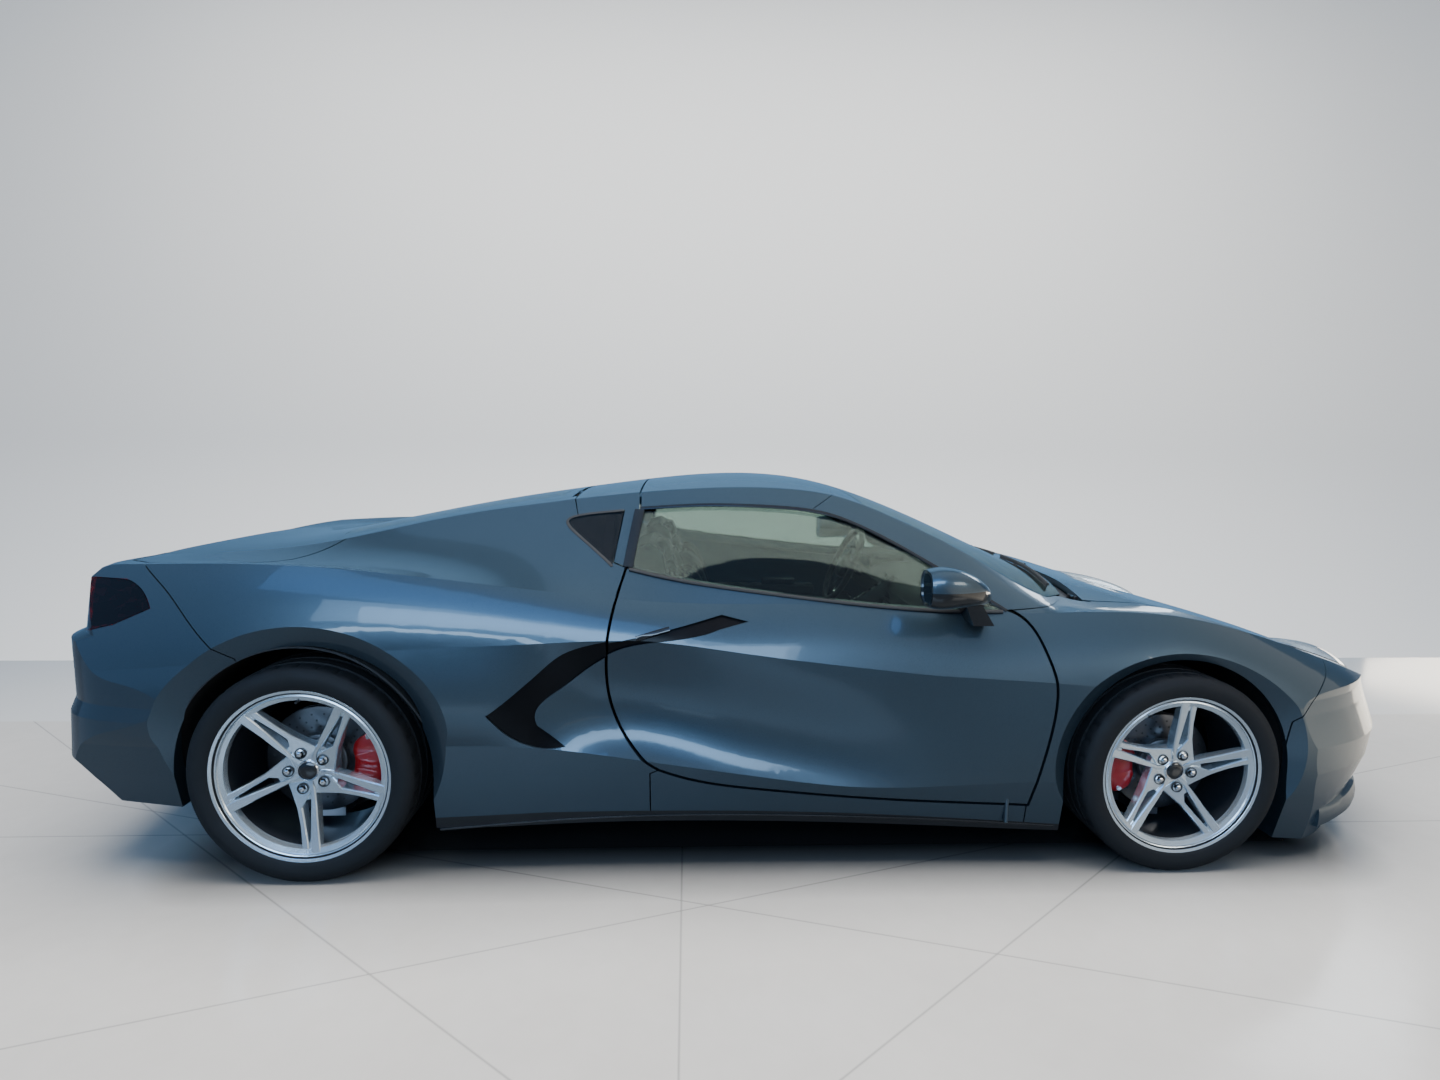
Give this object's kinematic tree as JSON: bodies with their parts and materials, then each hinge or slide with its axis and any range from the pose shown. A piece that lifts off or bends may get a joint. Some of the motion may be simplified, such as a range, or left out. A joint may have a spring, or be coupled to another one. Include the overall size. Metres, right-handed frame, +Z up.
{
  "type": "coupe car",
  "caption": "Low two-seat coupe with the engine behind the cabin, swinging doors, lifting hood and rear hatch, steered front wheels and four turning wheels.",
  "frame": {"origin": "on the ground, below the middle of the car's bounding box", "axes": "+X towards the nose, +Y to the car's left side, +Z up"},
  "size_m": [4.634, 2.0588, 1.2369],
  "materials": {
    "paint": "slate blue-grey metallic",
    "black_trim": "satin black",
    "glass": "tinted",
    "head_lens": "clear lens",
    "tail_lens": "smoked red lens",
    "bright_steel": "polished",
    "tub": "dark coated",
    "engine_metal": "cast",
    "leather": "black",
    "iron": "machined",
    "caliper_red": "red enamel",
    "alloy": "bright silver",
    "tyre": "rubber"
  },
  "bodies": {
    "chassis": {"underbody": "black_trim", "cabin_tub": "tub", "front_fascia": "paint", "front_grilles": "black_trim", "headlamps": "head_lens", "fender_left": "paint", "fender_right": "paint", "cowl": "black_trim", "windscreen": "glass", "windscreen_frame": "paint", "roof_panel": "paint", "roof_hoop": "paint", "quarter_left": "paint", "quarter_right": "paint", "quarter_windows": "glass", "side_intakes": "black_trim", "rockers": "paint", "side_skirts": "black_trim", "rear_fascia": "paint", "diffuser": "black_trim", "tail_lamps": "tail_lens", "exhaust_tips": "bright_steel", "wheel_liners": "black_trim", "trunk_tubs": "black_trim", "engine": "engine_metal", "seats": "leather", "dashboard": "leather", "knuckles_rear": "iron", "calipers_rear": "caliper_red", "suspension_arms": "iron"},
    "door_left": {"door_left": "paint", "door_blade_left": "black_trim", "door_glass_left": "glass", "door_mirror_left": "paint"},
    "door_right": {"door_right": "paint", "door_blade_right": "black_trim", "door_glass_right": "glass", "door_mirror_right": "paint"},
    "hood": {"hood": "paint"},
    "hatch": {"hatch": "paint", "hatch_glass": "glass"},
    "steering_wheel": {"steering_wheel": "leather"},
    "front_knuckle_left": {"knuckle_front_left": "iron", "caliper_front_left": "caliper_red"},
    "wheel_front_left": {"rim_front_left": "alloy", "tyre_front_left": "tyre", "brake_disc_front_left": "iron"},
    "wheel_rear_left": {"rim_rear_left": "alloy", "tyre_rear_left": "tyre", "brake_disc_rear_left": "iron"},
    "front_knuckle_right": {"knuckle_front_right": "iron", "caliper_front_right": "caliper_red"},
    "wheel_front_right": {"rim_front_right": "alloy", "tyre_front_right": "tyre", "brake_disc_front_right": "iron"},
    "wheel_rear_right": {"rim_rear_right": "alloy", "tyre_rear_right": "tyre", "brake_disc_rear_right": "iron"}
  },
  "joints": [
    {"name": "door_left_swing", "type": "hinge", "parent": "chassis", "child": "door_left", "pos_m": [0.6997, 0.9051, 0.3], "axis": [0, 0, -1], "range_deg": [0, 62]},
    {"name": "door_right_swing", "type": "hinge", "parent": "chassis", "child": "door_right", "pos_m": [0.6997, -0.9051, 0.3], "axis": [0, 0, 1], "range_deg": [0, 62]},
    {"name": "hood_lift", "type": "hinge", "parent": "chassis", "child": "hood", "pos_m": [1.03, 0, 0.832], "axis": [0, -1, 0], "range_deg": [0, 55]},
    {"name": "hatch_lift", "type": "hinge", "parent": "chassis", "child": "hatch", "pos_m": [-0.722, 0, 1.166], "axis": [0, 1, 0], "range_deg": [0, 50]},
    {"name": "steer_left", "type": "hinge", "parent": "chassis", "child": "front_knuckle_left", "pos_m": [1.245, 0.76, 0.322], "axis": [0, 0, 1], "range_deg": [-33, 33]},
    {"name": "steer_right", "type": "hinge", "parent": "chassis", "child": "front_knuckle_right", "pos_m": [1.245, -0.76, 0.322], "axis": [0, 0, 1], "range_deg": [-33, 33]},
    {"name": "steering_wheel_turn", "type": "hinge", "parent": "chassis", "child": "steering_wheel", "pos_m": [0.41938, 0.37036, 0.79963], "axis": [-0.9061, 0, 0.423], "range_deg": [-430, 430]},
    {"name": "spin_front_left", "type": "hinge", "parent": "front_knuckle_left", "child": "wheel_front_left", "pos_m": [1.245, 0.822, 0.322], "axis": [0, 1, 0], "continuous": true},
    {"name": "spin_rear_left", "type": "hinge", "parent": "chassis", "child": "wheel_rear_left", "pos_m": [-1.477, 0.792, 0.34], "axis": [0, 1, 0], "continuous": true},
    {"name": "spin_front_right", "type": "hinge", "parent": "front_knuckle_right", "child": "wheel_front_right", "pos_m": [1.245, -0.822, 0.322], "axis": [0, 1, 0], "continuous": true},
    {"name": "spin_rear_right", "type": "hinge", "parent": "chassis", "child": "wheel_rear_right", "pos_m": [-1.477, -0.792, 0.34], "axis": [0, 1, 0], "continuous": true}
  ],
  "couplings": [
    {"joint": "steer_right", "follows": "steer_left", "ratio": 1},
    {"joint": "steering_wheel_turn", "follows": "steer_left", "ratio": 13}
  ]
}
